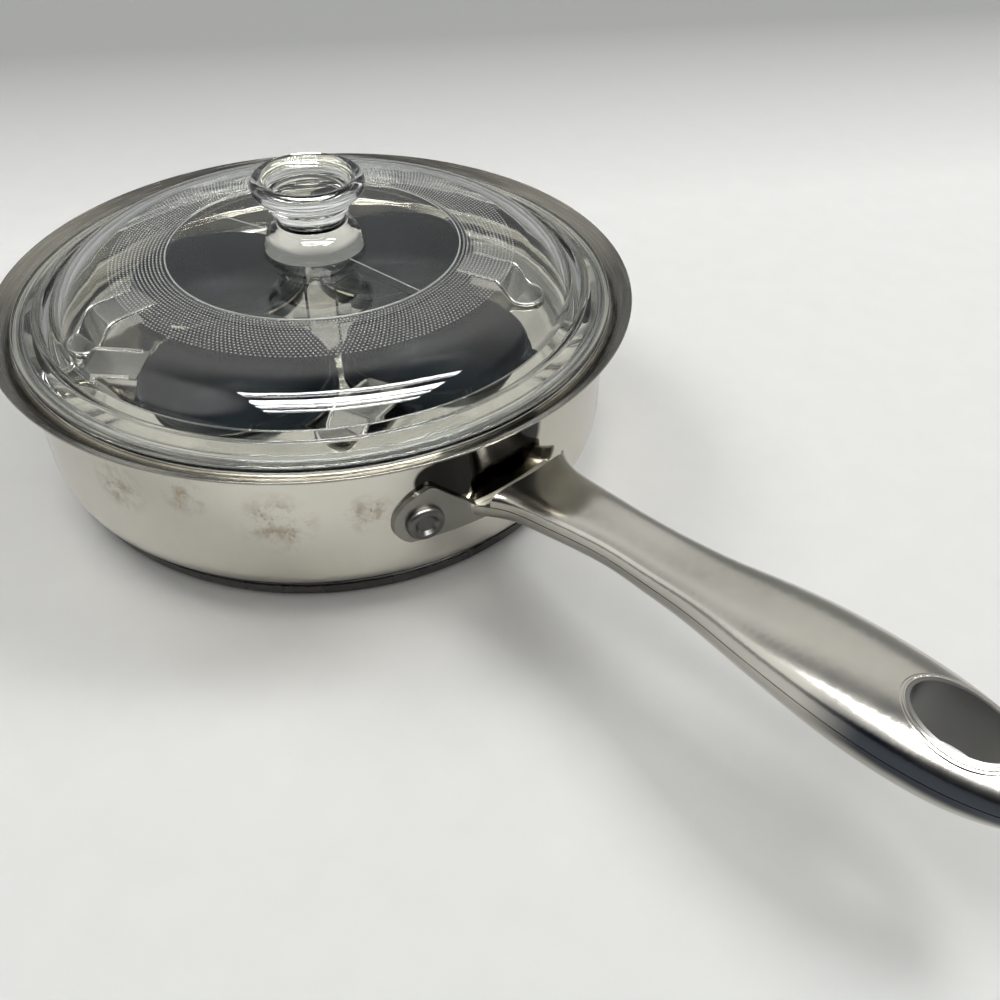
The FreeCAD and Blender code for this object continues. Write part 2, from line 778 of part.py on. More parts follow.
def make_lid():
    """One moulded piece of glass: flange, skirt, dome, flat disc and knob."""
    body = new_body("lid_glass")
    glass = size("lid_glass")
    edge_radius = seat_radius - size("lid_gap")
    edge = size("lid_edge")
    skirt_radius = tray_face - size("skirt_gap")
    skirt_bottom = -size("skirt_depth")
    skirt_inside = skirt_radius - size("skirt_width")
    foot_radius = edge_radius - size("flange_width")
    foot_height = size("dome_foot_height")
    disc_radius = foot_radius - size("shoulder_width")
    disc_height = size("disc_height")
    disc_edge_height = disc_height - size("disc_step")
    shoulder_radius = disc_radius + (foot_radius - disc_radius).times(SHOULDER_SHARES[0])
    shoulder_height = disc_edge_height - (disc_edge_height - foot_height).times(SHOULDER_SHARES[1])
    knob_radius = size("knob_radius")
    knob_height = size("knob_height")
    points = []
    for radius_share, height_share, bulge in KNOB_OUTLINE_SHARES:
        radius = knob_radius.times(radius_share) if radius_share else ZERO
        points.append((radius, disc_height + knob_height.times(height_share), bulge))
    points += [
        (disc_radius - size("disc_step"), disc_height, 0),
        (disc_radius, disc_edge_height, DOME_BULGE_SHARES[0]),
        (shoulder_radius, shoulder_height, DOME_BULGE_SHARES[1]),
        (foot_radius, foot_height, 0),
    ]
    for place_share, height_share, bulge in FLANGE_OUTLINE_SHARES:
        radius = foot_radius + (edge_radius - foot_radius).times(place_share)
        height = edge.times(height_share) if height_share else ZERO
        points.append((radius, height, bulge))
    points += [
        (skirt_radius, ZERO, 0),
        (skirt_radius, skirt_bottom, 0),
        (skirt_inside, skirt_bottom, 0),
        (
            foot_radius - glass.times(FOOT_INSET_SHARES[0]),
            foot_height - glass.times(FOOT_INSET_SHARES[1]),
            -DOME_BULGE_SHARES[1],
        ),
        (
            shoulder_radius - glass.times(SHOULDER_INSET_SHARES[0]),
            shoulder_height - glass.times(SHOULDER_INSET_SHARES[1]),
            -DOME_BULGE_SHARES[0],
        ),
        (disc_radius - glass.times(SHOULDER_INSET_SHARES[0]), disc_height - glass, 0),
        (ZERO, disc_height - glass, 0),
    ]
    revolve(body, "lid_turn", points)
    place(body, height=seat_height + tray_sheet)
    return body


pieces = [
    make_pan_shell(),
    make_base_core(),
    make_base_cap(),
    make_bracket(),
    make_rivet(),
    *make_handle(),
    make_tray_plate(),
    make_lift_loop(),
    *[make_cup(index) for index in range(CUP_COUNT)],
    *[make_tab(index) for index in range(CUP_COUNT)],
    make_lid(),
]
doc.recompute()

for item in doc.Objects:
    if "Invalid" in item.State or "Error" in item.State:
        raise RuntimeError(f"{item.Label} failed: {item.State}")
for piece in pieces:
    if piece.Shape.isNull() or not piece.Shape.isValid():
        raise RuntimeError(f"{piece.Label} has no valid shape")
    if len(piece.Shape.Solids) != 1:
        raise RuntimeError(f"{piece.Label} has {len(piece.Shape.Solids)} solids")

os.makedirs("parts", exist_ok=True)
for piece in pieces:
    piece.Shape.exportStep(f"parts/{piece.Label}.step")
    box = piece.Shape.BoundBox
    print(
        f"{piece.Label}: {piece.Shape.Volume:.0f} mm3,"
        f" x {box.XMin:.1f} to {box.XMax:.1f},"
        f" y {box.YMin:.1f} to {box.YMax:.1f},"
        f" z {box.ZMin:.1f} to {box.ZMax:.1f}"
    )
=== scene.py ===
# %% [markdown]
# # Egg poacher pan
# A steel pan with a riveted hollow handle holds a pressed tray. Four dark cups hang in
# the tray and a moulded glass lid closes the pan. The CAD frame holds every piece in its
# place, and this lesson dresses it: turned forms are spun again from the same sizes with
# soft edges, the pressed pieces are smoothed, and each piece gets a finish made of nodes.

# %% Load the CAD frame
import math

import bmesh
import bpy
from mathutils import Matrix, Vector
from mathutils.bvhtree import BVHTree


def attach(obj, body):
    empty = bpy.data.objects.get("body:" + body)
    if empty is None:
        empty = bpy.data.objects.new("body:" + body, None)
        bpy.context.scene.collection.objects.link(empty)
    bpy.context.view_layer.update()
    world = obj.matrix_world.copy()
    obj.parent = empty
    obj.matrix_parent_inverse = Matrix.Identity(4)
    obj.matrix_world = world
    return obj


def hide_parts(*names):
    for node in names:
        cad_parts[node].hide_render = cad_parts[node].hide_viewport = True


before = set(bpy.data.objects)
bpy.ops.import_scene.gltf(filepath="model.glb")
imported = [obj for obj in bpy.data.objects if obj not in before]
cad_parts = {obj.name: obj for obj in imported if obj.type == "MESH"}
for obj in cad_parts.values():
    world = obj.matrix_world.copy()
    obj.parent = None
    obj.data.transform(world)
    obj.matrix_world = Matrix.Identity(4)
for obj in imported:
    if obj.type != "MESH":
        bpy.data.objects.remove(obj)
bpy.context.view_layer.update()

scene = bpy.context.scene
scene.view_settings.view_transform = "Standard"
MM = 0.001

# %% [markdown]
# ## Camera
# The camera comes first, because every later choice is compared with the photograph. Its
# place and its three axes were solved from ellipses of the lip, the lid and the base. A
# camera could be aimed with a tracking constraint, but a matrix keeps the slight roll too.

# %% Camera at the photograph's view
EYE = (0.2813845, -0.1827332, 0.2482428)
VIEW_TURN = 57

camera_data = bpy.data.cameras.new("photo_camera")
camera_data.lens = 36
camera_data.sensor_width = 36
camera_data.clip_start = 0.01
camera = bpy.data.objects.new("photo_camera", camera_data)
scene.collection.objects.link(camera)
turn = Matrix.Rotation(math.radians(VIEW_TURN), 3, "Z")
right = turn @ Vector((0.98147928, -0.19104862, 0.01410122))
up = turn @ Vector((0.11670775, 0.65468944, 0.74683401))
back = turn @ Vector((-0.15191353, -0.73135638, 0.66486098))
axes = Matrix((right, up, back)).transposed().to_4x4()
camera.matrix_world = Matrix.Translation(EYE) @ axes
scene.camera = camera
print("camera at", EYE, "m, lens", camera_data.lens, "mm")

# %% [markdown]
# ## Finishes
# Every finish starts from the Principled shader. A helper adds one node and fills its
# inputs by name, so that a finish reads as a short list: a pattern, a ramp, a bump. The
# nodes could be laid by hand in the editor, but a script can be read and run again.

# %% Helpers that add nodes
def new_finish(name, colour, roughness, metallic=0.0):
    """A material with the Principled shader's plain values set on its own sockets."""
    material = bpy.data.materials.new(name)
    material.use_nodes = True
    shader = material.node_tree.nodes["Principled BSDF"]
    shader.inputs["Base Color"].default_value = (*colour, 1)
    shader.inputs["Roughness"].default_value = roughness
    shader.inputs["Metallic"].default_value = metallic
    return material, shader


def fill(tree, socket, value):
    """A socket takes another node's output or a plain value."""
    if isinstance(value, bpy.types.NodeSocket):
        tree.links.new(value, socket)
    else:
        socket.default_value = value


def add_node(tree, kind, settings=None, **inputs):
    """One node. An input goes by its label, or by _0, _1 where labels repeat."""
    node = tree.nodes.new(kind)
    for key, value in (settings or {}).items():
        setattr(node, key, value)
    for key, value in inputs.items():
        label = int(key[1:]) if key[1:].isdigit() else key.replace("_", " ")
        fill(tree, node.inputs[label], value)
    return node


def feed(tree, output, shader, socket):
    """An output drives one of the shader's sockets."""
    tree.links.new(output, shader.inputs[socket])


print("node helpers ready")

# %% [markdown]
# ### Patterns and tones
# Scratches, clouds and stains are all imitated with soft noise, cut by a ramp and kept in
# place by a fade. These few steps return an output socket each, so that they can be put
# one inside the other. Scales count cycles per metre, as the CAD frame is in metres.

# %% Helpers for patterns and tones
MIX_SOCKETS, MIX_RESULT = (0, 6, 7), 2


def object_coords(tree):
    """The piece's own coordinates, in metres in the CAD frame."""
    return add_node(tree, "ShaderNodeTexCoord").outputs["Object"]


def noise(tree, vector, scale, detail=3.0, roughness=0.55):
    """Soft noise, with its scale in cycles per metre."""
    return add_node(tree, "ShaderNodeTexNoise", Vector=vector, Scale=scale, Detail=detail,
                    Roughness=roughness).outputs["Fac"]


def stretched(tree, vector, x, y, z):
    """Coordinates stretched by axis, for brushed lines."""
    return add_node(tree, "ShaderNodeMapping", Vector=vector, Scale=(x, y, z)).outputs["Vector"]


def ramp(tree, factor, *stops):
    """A colour ramp with the given (place, grey or colour) stops."""
    node = add_node(tree, "ShaderNodeValToRGB", Fac=factor)
    elements = node.color_ramp.elements
    while len(elements) < len(stops):
        elements.new(0.5)
    for element, (place, colour) in zip(elements, stops):
        element.position = place
        element.color = (*colour, 1) if isinstance(colour, tuple) else (colour, colour, colour, 1)
    return node.outputs["Color"]


def mix(tree, factor, first, second):
    """Two colours mixed by a factor. The colour sockets share labels, so they go by place."""
    node = add_node(tree, "ShaderNodeMix", {"data_type": "RGBA"})
    for place, value in zip(MIX_SOCKETS, (factor, first, second)):
        fill(tree, node.inputs[place], (*value, 1) if isinstance(value, tuple) else value)
    return node.outputs[MIX_RESULT]


def math_node(tree, operation, first, second=0.0, clamp=False):
    """One arithmetic step."""
    settings = {"operation": operation, "use_clamp": clamp}
    return add_node(tree, "ShaderNodeMath", settings, _0=first, _1=second).outputs[0]


def times(tree, first, second):
    """One socket times another."""
    return math_node(tree, "MULTIPLY", first, second)


def fade(tree, value, start, end, soft=False):
    """0 at the start and 1 at the end of a value's range, straight or with soft ends."""
    settings = {"interpolation_type": "SMOOTHSTEP" if soft else "LINEAR"}
    return add_node(tree, "ShaderNodeMapRange", settings, Value=value, From_Min=start,
                    From_Max=end).outputs[0]


def window(tree, value, rise, fall):
    """1 between a soft rise and a soft fall of a value."""
    return times(tree, fade(tree, value, *rise, soft=True), fade(tree, value, *fall, soft=True))


def reach_along(tree, vector, way):
    """How far a vector reaches along a fixed way."""
    return add_node(tree, "ShaderNodeVectorMath", {"operation": "DOT_PRODUCT"}, _0=vector,
                    _1=way).outputs["Value"]


def bump(tree, shader, height, distance, strength):
    """Relief on the shader from a height."""
    node = add_node(tree, "ShaderNodeBump", Height=height, Distance=distance, Strength=strength)
    feed(tree, node.outputs["Normal"], shader, "Normal")


print("pattern helpers ready")

# %% [markdown]
# ### Steel of the pan
# The wall is mirror polished and the lip and step are brushed round the axis. Brushing that
# runs round needs polar coordinates: the distance from the axis and the height change
# fast across the lines, and the angle changes slowly along them. A height mask parts
# the two finishes. Small pits roughen the polish. Tan cooking stains are painted on, and
# by the handle's root a black patch is a painted dark reflection. A mask by radius keeps
# both on the outside.

# %% Masks round the axis and near a place
def polar_coords(tree, vector, across, along):
    """Coordinates for lines that run round the axis, then the radius and the height."""
    parts = add_node(tree, "ShaderNodeSeparateXYZ", Vector=vector).outputs
    squared = math_node(tree, "ADD", times(tree, parts[0], parts[0]), times(tree, parts[1], parts[1]))
    radius = math_node(tree, "SQRT", squared)
    angle = math_node(tree, "ARCTAN2", parts[1], parts[0])
    coords = add_node(tree, "ShaderNodeCombineXYZ", X=times(tree, radius, across),
                      Y=times(tree, parts[2], across), Z=times(tree, angle, along)).outputs[0]
    return coords, radius, parts[2]


def near_places(tree, place, places, core):
    """1 at the given places, fading to 0 at their reach. The core is a share of the reach."""
    mask = None
    for centre, reach in places:
        away = add_node(tree, "ShaderNodeVectorMath", {"operation": "DISTANCE"}, _0=place,
                        _1=centre).outputs["Value"]
        near = fade(tree, away, reach, core * reach)
        mask = near if mask is None else math_node(tree, "MAXIMUM", mask, near)
    return mask


print("masks ready")

# %% Polished and brushed pan steel
STAINS = [((0.0294, -0.1018, 0.0415), 0.012), ((0.0755, -0.0744, 0.0385), 0.014),
          ((0.0530, -0.0918, 0.0460), 0.009), ((0.0925, -0.0520, 0.0400), 0.009)]
# The dark spots by the handle's root are a painted dark reflection on the polished wall.
DARK_REFLECTION_SPOTS = [((0.1038, -0.0205, 0.0505), 0.0150), ((0.1055, -0.0040, 0.0500), 0.0140),
          ((0.1000, -0.0330, 0.0480), 0.0065)]
STAIN_CORE, DARK_REFLECTION_CORE = 0.4, 0.85
STAIN_TAN, DARK_REFLECTION_BLACK = (0.33, 0.27, 0.18), (0.03, 0.029, 0.026)
LIP_HEIGHTS = (0.0572, 0.0586)
OUTER_SKIN = (0.1053, 0.1057)


def pan_steel():
    """Mirror wall below, brushed lip above, stains and a painted dark reflection on the outside."""
    material, shader = new_finish("pan_steel", (0.62, 0.60, 0.57), 0.1, 1.0)
    tree = material.node_tree
    place = object_coords(tree)
    polar, radius, height = polar_coords(tree, place, 1400, 6)
    lines = noise(tree, polar, 1.0, 2)
    lip = fade(tree, height, *LIP_HEIGHTS)
    cloud = noise(tree, place, 26, 5)
    grains = noise(tree, place, 150, 9, 0.72)
    outside = fade(tree, radius, *OUTER_SKIN)
    spotted = times(tree, outside, near_places(tree, place, STAINS, STAIN_CORE))
    stain = times(tree, ramp(tree, grains, (0.46, 0.0), (0.62, 1.0)), spotted)
    # Painted dark reflection by the handle's root, kept on the outside.
    dark_reflection = times(tree, outside, near_places(tree, place, DARK_REFLECTION_SPOTS, DARK_REFLECTION_CORE))
    polished = ramp(tree, cloud, (0.30, (0.66, 0.635, 0.56)), (0.70, (0.75, 0.725, 0.655)))
    brushed = ramp(tree, lines, (0.30, (0.24, 0.232, 0.206)), (0.70, (0.335, 0.323, 0.287)))
    colour = mix(tree, lip, polished, brushed)
    colour = mix(tree, times(tree, stain, 0.7), colour, STAIN_TAN)
    colour = mix(tree, dark_reflection, colour, DARK_REFLECTION_BLACK)
    feed(tree, colour, shader, "Base Color")
    smooth = ramp(tree, cloud, (0.30, 0.06), (0.75, 0.14))
    rough = mix(tree, lip, smooth, ramp(tree, lines, (0.3, 0.18), (0.7, 0.30)))
    rough = mix(tree, stain, rough, (0.42, 0.42, 0.42))
    feed(tree, rough, shader, "Roughness")
    pits = ramp(tree, noise(tree, place, 420, 2), (0.24, 0.0), (0.32, 1.0))
    bump(tree, shader, mix(tree, lip, pits, lines), 0.00004, 0.35)
    return material


PAN_STEEL = pan_steel()
print("pan steel has", len(PAN_STEEL.node_tree.nodes), "nodes")

# %% [markdown]
# ### Pressed sheet
# The tray, the tabs, the bracket and the base are stamped from sheet, which keeps faint
# turning lines and a cloudy gloss. One function gives them all, and only tint, roughness
# and the spacing of the lines differ. One shared material would be shorter, but in the
# photograph each piece has a tone of its own. The dark tints of the base cap and the rivet
# are painted shade, and the pale tab edge is a painted highlight.

# %% Pressed steel and aluminium
def pressed_steel(name, tint, rough, across=900, along=5):
    """Bright pressed sheet with faint turning lines and cloudy gloss."""
    material, shader = new_finish(name, tint, rough, 1.0)
    tree = material.node_tree
    place = object_coords(tree)
    polar = polar_coords(tree, place, across, along)[0]
    lines = noise(tree, polar, 1.0, 2)
    cloud = noise(tree, place, 45, 4)
    dark = tuple(0.86 * c for c in tint)
    feed(tree, ramp(tree, cloud, (0.3, dark), (0.7, tint)), shader, "Base Color")
    feed(tree, ramp(tree, cloud, (0.25, rough * 0.7), (0.75, rough * 1.4)), shader, "Roughness")
    bump(tree, shader, lines, 0.00003, 0.3)
    return material


# The base cap's dark tint is painted shade under the pan.
CAP_SHADED_STEEL = pressed_steel("base_cap_painted_shade", (0.17, 0.165, 0.16), 0.25)
CORE_METAL = pressed_steel("base_core_aluminium", (0.62, 0.62, 0.61), 0.4)
TRAY_STEEL = pressed_steel("tray_steel", (0.80, 0.775, 0.70), 0.08)
LOOP_STEEL = pressed_steel("lift_loop_steel", (0.64, 0.62, 0.57), 0.10)
TAB_STEEL = pressed_steel("cup_tab_steel", (0.46, 0.45, 0.42), 0.10)
# The tab edge is paler than the tab: a painted highlight along the rolled bead.
EDGE_HIGHLIGHT_STEEL = pressed_steel("tab_edge_painted_highlight", (0.84, 0.83, 0.80), 0.12)
BRACKET_STEEL = pressed_steel("bracket_steel", (0.30, 0.292, 0.262), 0.30, 700, 8)
# The rivet's dark tint is painted shade in its dished head.
RIVET_SHADED_STEEL = pressed_steel("rivet_painted_shade", (0.14, 0.137, 0.13), 0.30, 900, 8)
print("sheet finishes made, materials so far:", len(bpy.data.materials))

# %% [markdown]
# ### Steel of the handle
# The handle is polished along its length, so its noise is stretched along X and the fine
# lines follow the grip. The root by the pan is a little darker and browner, a painted
# reflection, and a band on the lower flank of the grip is a painted dark reflection. Both
# are painted by place, so they stay put in any view. The sleeve of the hang hole has the
# same grain without these, and its dark tint is painted shade inside the hole.

# %% Handle steel
# A band on the grip's lower flank is a painted dark reflection, and the darker, browner root a painted
# reflection of the pan wall.
GRIP_HEIGHTS = ((0.0360, 0.0395), (0.0476, 0.0452))
GRIP_REACH = ((0.221, 0.242), (0.40, 0.39))
GRIP_RAGGED = 0.004
ROOT_REACH = (0.136, 0.112)
FLANK_REFLECTION_DARK, ROOT_REFLECTION_TINT = (0.060, 0.068, 0.080), (0.42, 0.40, 0.35)


def painted_reflection_tone(tree, place, cloud, tone):
    """A tone with a painted dark reflection on the grip's flank and a painted darker reflection at the
    root.
    """
    parts = add_node(tree, "ShaderNodeSeparateXYZ", Vector=place).outputs
    waver = times(tree, math_node(tree, "SUBTRACT", cloud, 0.5), GRIP_RAGGED)
    ragged = math_node(tree, "ADD", parts[2], waver)
    # Painted dark reflection in a band on the grip's lower flank.
    flank_reflection = times(tree, window(tree, ragged, *GRIP_HEIGHTS), window(tree, parts[0], *GRIP_REACH))
    tone = mix(tree, flank_reflection, tone, FLANK_REFLECTION_DARK)
    # Painted darker, browner reflection at the root by the pan.
    return mix(tree, fade(tree, parts[0], *ROOT_REACH, soft=True), tone, ROOT_REFLECTION_TINT)


def satin_handle_steel(name, tint, rough, painted_reflections):
    """Steel polished along the handle, with painted dark reflections where asked."""
    material, shader = new_finish(name, tint, rough, 1.0)
    tree = material.node_tree
    place = object_coords(tree)
    lines = noise(tree, stretched(tree, place, 14, 900, 900), 1.0, 3)
    cloud = noise(tree, place, 30, 4)
    dark = tuple(0.84 * c for c in tint)
    tone = ramp(tree, cloud, (0.3, dark), (0.7, tint))
    if painted_reflections:
        tone = painted_reflection_tone(tree, place, cloud, tone)
    feed(tree, tone, shader, "Base Color")
    feed(tree, ramp(tree, cloud, (0.25, rough * 0.8), (0.75, rough * 1.25)), shader, "Roughness")
    bump(tree, shader, lines, 0.00002, 0.12)
    return material


HANDLE_STEEL = satin_handle_steel("handle_steel", (0.64, 0.62, 0.565), 0.19, painted_reflections=True)
# The sleeve's dark tint is painted shade inside the hang hole.
FERRULE_SHADED_STEEL = satin_handle_steel("ferrule_painted_shade", (0.20, 0.198, 0.19), 0.38, painted_reflections=False)
print("handle finishes made, materials so far:", len(bpy.data.materials))

# %% [markdown]
# ### Coating and glass
# The cups carry a dark non-stick coat: nearly black, slightly blue, with a fine fleck and
# a soft gloss. The lid is clear glass with a faint green, a little greyer in the thick
# foot of the knob. Its surface has a slow ripple from the mould, because real pressed
# glass never gives a perfect reflection. The stipple's glass is a little cloudy, so its
# beads show as pale dots: a painted glint on top of their real one.

# %% Cup coating and lid glass
FOOT_REACH = (0.0190, 0.0180)
FOOT_HEIGHTS = ((0.0776, 0.0784), (0.0880, 0.0868))
FOOT_TINT = (0.84, 0.84, 0.78)
GLASS_IOR = 1.48
COAT_SPECULAR = 0.09


def cup_coating():
    """Dark coat with a fleck and a soft gloss."""
    material, shader = new_finish("cup_coating", (0.012, 0.015, 0.017), 0.45)
    shader.inputs["Specular IOR Level"].default_value = COAT_SPECULAR
    tree = material.node_tree
    place = object_coords(tree)
    fleck = noise(tree, place, 1500, 2)
    cloud = noise(tree, place, 60, 4)
    tone = ramp(tree, cloud, (0.3, (0.006, 0.008, 0.010)), (0.7, (0.010, 0.013, 0.016)))
    tone = mix(tree, ramp(tree, fleck, (0.66, 0.0), (0.74, 0.5)), tone, (0.030, 0.034, 0.036))
    feed(tree, tone, shader, "Base Color")
    feed(tree, ramp(tree, cloud, (0.3, 0.34), (0.7, 0.5)), shader, "Roughness")
    bump(tree, shader, fleck, 0.00002, 0.4)
    return material


def pressed_glass(name, ripple, clear=1.0, rough=0.0):
    """Clear glass with a slow ripple and a greyer knob foot."""
    material, shader = new_finish(name, (0.97, 0.98, 0.97), rough)
    shader.inputs["Transmission Weight"].default_value = clear
    shader.inputs["IOR"].default_value = GLASS_IOR
    tree = material.node_tree
    place = object_coords(tree)
    cloud = noise(tree, place, 38, 2)
    tint = ramp(tree, cloud, (0.3, (0.962, 0.976, 0.962)), (0.7, (0.976, 0.986, 0.974)))
    _, radius, height = polar_coords(tree, place, 1, 1)
    foot = times(tree, fade(tree, radius, *FOOT_REACH), window(tree, height, *FOOT_HEIGHTS))
    feed(tree, mix(tree, foot, tint, FOOT_TINT), shader, "Base Color")
    bump(tree, shader, cloud, 0.0004, ripple)
    return material


CUP_COATING = cup_coating()
LID_GLASS = pressed_glass("lid_glass", 0.25)
# The stipple glass is cloudy so its beads show pale: a painted glint on top of their real one.
STIPPLE_GLINT_GLASS = pressed_glass("stipple_glass_painted_glint", 0.1, 0.72, 0.12)
print("coating and glass made, materials so far:", len(bpy.data.materials))

# %% [markdown]
# ## Geometry Nodes trees
# What is turned, follows a line or repeats on this pan is made by a Geometry Nodes tree.
# The three trees start and end alike, so that part is written once: named inputs at the
# start, real geometry and a finish at the end. The result is kept as a plain mesh, because
# instances and live modifiers don't survive an export.

# %% Shared start and end of the trees
WELD = 0.000002


def new_tree(name, inputs, result):
    """An empty tree with named inputs: the tree, their identifiers and their sockets."""
    tree = bpy.data.node_groups.new(name, "GeometryNodeTree")
    ids = {}
    for label, kind in inputs.items():
        socket = tree.interface.new_socket(label, in_out="INPUT", socket_type="NodeSocket" + kind)
        ids[label] = socket.identifier
    tree.interface.new_socket(result, in_out="OUTPUT", socket_type="NodeSocketGeometry")
    return tree, ids, add_node(tree, "NodeGroupInput").outputs


def end_tree(tree, geometry, finish):
    """Instances made real, the finish set, the result handed out."""
    real = add_node(tree, "GeometryNodeRealizeInstances", Geometry=geometry)
    painted = add_node(tree, "GeometryNodeSetMaterial", Geometry=real.outputs[0], Material=finish)
    tree.links.new(painted.outputs[0], add_node(tree, "NodeGroupOutput").inputs[0])


def grown(name, tree, ids, values, verts=(), edges=()):
    """A plain mesh piece that a tree makes from a line of edges."""
    line = bpy.data.meshes.new(name)
    line.from_pydata(verts, edges, [])
    obj = bpy.data.objects.new(name, line)
    scene.collection.objects.link(obj)
    modifier = obj.modifiers.new(tree.name, "NODES")
    modifier.node_group = tree
    for label, value in values.items():
        modifier[ids[label]] = value
    depsgraph = bpy.context.evaluated_depsgraph_get()
    mesh = bpy.data.meshes.new_from_object(obj.evaluated_get(depsgraph))
    mesh.name = name
    obj.modifiers.clear()
    obj.data = mesh
    return obj


def set_normals(mesh, smooth_angle, recalculate=True):
    """Merged, outward and smooth, with edges kept sharp past an angle in degrees."""
    work = bmesh.new()
    work.from_mesh(mesh)
    bmesh.ops.remove_doubles(work, verts=work.verts, dist=WELD)
    if recalculate:
        bmesh.ops.recalc_face_normals(work, faces=work.faces)
    work.to_mesh(mesh)
    work.free()
    for layer in [a for a in mesh.attributes if a.name in ("custom_normal", "sharp_face")]:
        mesh.attributes.remove(layer)
    mesh.polygons.foreach_set("use_smooth", [True] * len(mesh.polygons))
    mesh.set_sharp_from_angle(angle=math.radians(smooth_angle))


print("tree helpers ready")

# %% [markdown]
# ### Turned pieces
# The pan, the four cups and the lid are solids of revolution, so one tree makes them all.
# The object's own mesh is the half section, drawn as a closed line of edges. The tree
# turns that line into a profile curve and sweeps it round a circle. A Screw modifier could
# do it too, but the tree also merges the points on the axis and sets the finish.

# %% The turning tree
SWEEP_RADIUS = 0.2


def turning_tree():
    """A section swept round a circle, with the points on the axis merged."""
    tree, ids, get = new_tree("turn_section", {
        "Section": "Geometry", "Segments": "Int", "Finish": "Material"}, "Turned")
    section = add_node(tree, "GeometryNodeMeshToCurve", Mesh=get["Section"])
    circle = add_node(tree, "GeometryNodeCurvePrimitiveCircle", Resolution=get["Segments"],
                      Radius=SWEEP_RADIUS)
    sweep = add_node(tree, "GeometryNodeCurveToMesh", Curve=circle.outputs[0],
                     Profile_Curve=section.outputs[0])
    merge = add_node(tree, "GeometryNodeMergeByDistance", Geometry=sweep.outputs[0], Distance=WELD)
    end_tree(tree, merge.outputs[0], get["Finish"])
    return tree, ids


TURNING, TURNING_IDS = turning_tree()


def turned(name, section, finish, segments, centre=(0, 0), smooth_angle=40):
    """A solid of revolution from section points in mm, on a vertical axis through centre."""
    verts = [(p[0] * MM - SWEEP_RADIUS, -p[1] * MM, 0.0) for p in section]
    edges = [(i, (i + 1) % len(verts)) for i in range(len(verts))]
    values = {"Segments": segments, "Finish": finish}
    obj = grown(name, TURNING, TURNING_IDS, values, verts, edges)
    obj.data.transform(Matrix.Translation((centre[0] * MM, centre[1] * MM, 0)))
    set_normals(obj.data, smooth_angle)
    return obj


print("turning tree has", len(TURNING.nodes), "nodes")

# %% [markdown]
# ### Section lines
# A pressed bend is never sharp, so each corner of a section carries a fillet. Glass is
# drawn with longer arcs between its points. Both helpers return plain points, because the
# turning tree only needs a line. Curve objects could hold the arcs too, but would need
# more numbers.

# %% Fillets and arcs
ARC_STEPS = 12
STRAIGHT = 1e-6


def rounded(corners, steps):
    """Section points from (radius, height, fillet) corners in mm, each corner an arc."""
    points = []
    for i, (r, z, fillet) in enumerate(corners):
        here = Vector((r, z))
        if fillet <= 0 or i in (0, len(corners) - 1):
            points.append(here)
            continue
        to_last = Vector(corners[i - 1][:2]) - here
        to_next = Vector(corners[i + 1][:2]) - here
        half = to_last.angle(to_next) / 2
        back_off = min(fillet / math.tan(half), 0.49 * to_last.length, 0.49 * to_next.length)
        start = here + to_last.normalized() * back_off
        end = here + to_next.normalized() * back_off
        for k in range(steps + 1):
            t = k / steps
            points.append((1 - t) ** 2 * start + 2 * t * (1 - t) * here + t * t * end)
    return points


def arc_centre(start, end, bulge):
    """Centre and radius of an arc; bulge is sagitta over chord, + to the left."""
    start, end = Vector(start), Vector(end)
    chord = end - start
    left = Vector((-chord.y, chord.x)).normalized()
    sagitta = abs(bulge) * chord.length
    radius = (chord.length ** 2 / 4 + sagitta ** 2) / (2 * sagitta)
    return (start + end) / 2 + left * (sagitta - radius) * (1 if bulge > 0 else -1), radius


def arc(start, end, bulge):
    """Points after start up to end on an arc, or the end alone on a straight line."""
    start, end = Vector(start), Vector(end)
    if abs(bulge) < STRAIGHT:
        return [end]
    centre, radius = arc_centre(start, end, bulge)
    a0 = math.atan2(*(start - centre).yx)
    a1 = math.atan2(*(end - centre).yx)
    sweep = (a1 - a0 + math.pi) % (2 * math.pi) - math.pi
    angles = [a0 + sweep * k / ARC_STEPS for k in range(1, ARC_STEPS + 1)]
    return [centre + radius * Vector((math.cos(a), math.sin(a))) for a in angles]


def on_circle(radius, degrees):
    """The point at an angle on a circle round the axis."""
    return radius * math.cos(math.radians(degrees)), radius * math.sin(math.radians(degrees))


print("section helpers ready, arcs of", ARC_STEPS, "steps")

# %% [markdown]
# ### Tying a piece to its body
# A finished piece rides one body of the frame and stands in for the CAD nodes it dresses.
# That is the same for every piece, so it is one helper, which also prints the piece's box:
# a wrong size shows there before any render.

# %% Dress helper
def box_ends(corners):
    """The lowest and the highest corner of a box."""
    return [Vector([pick(c[k] for c in corners) for k in range(3)]) for pick in (min, max)]


def dress(obj, body, slot_name, *nodes):
    """The piece rides its body and stands for its CAD nodes; the slot name is not used."""
    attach(obj, body)
    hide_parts(*nodes)
    obj.data.calc_loop_triangles()
    low, high = box_ends(obj.bound_box)
    print(obj.name, len(obj.data.loop_triangles), "triangles, box mm",
          [round(v / MM, 1) for v in low], [round(v / MM, 1) for v in high])


print("dress helper ready")

# %% [markdown]
# ## Pan shell
# One sheet, spun or pressed: a flat floor, a rounded corner, a straight wall, a step that
# carries the tray and a lip with a soft edge. The section is drawn once up the outside
# and back down the inside, with a fillet at each bend.

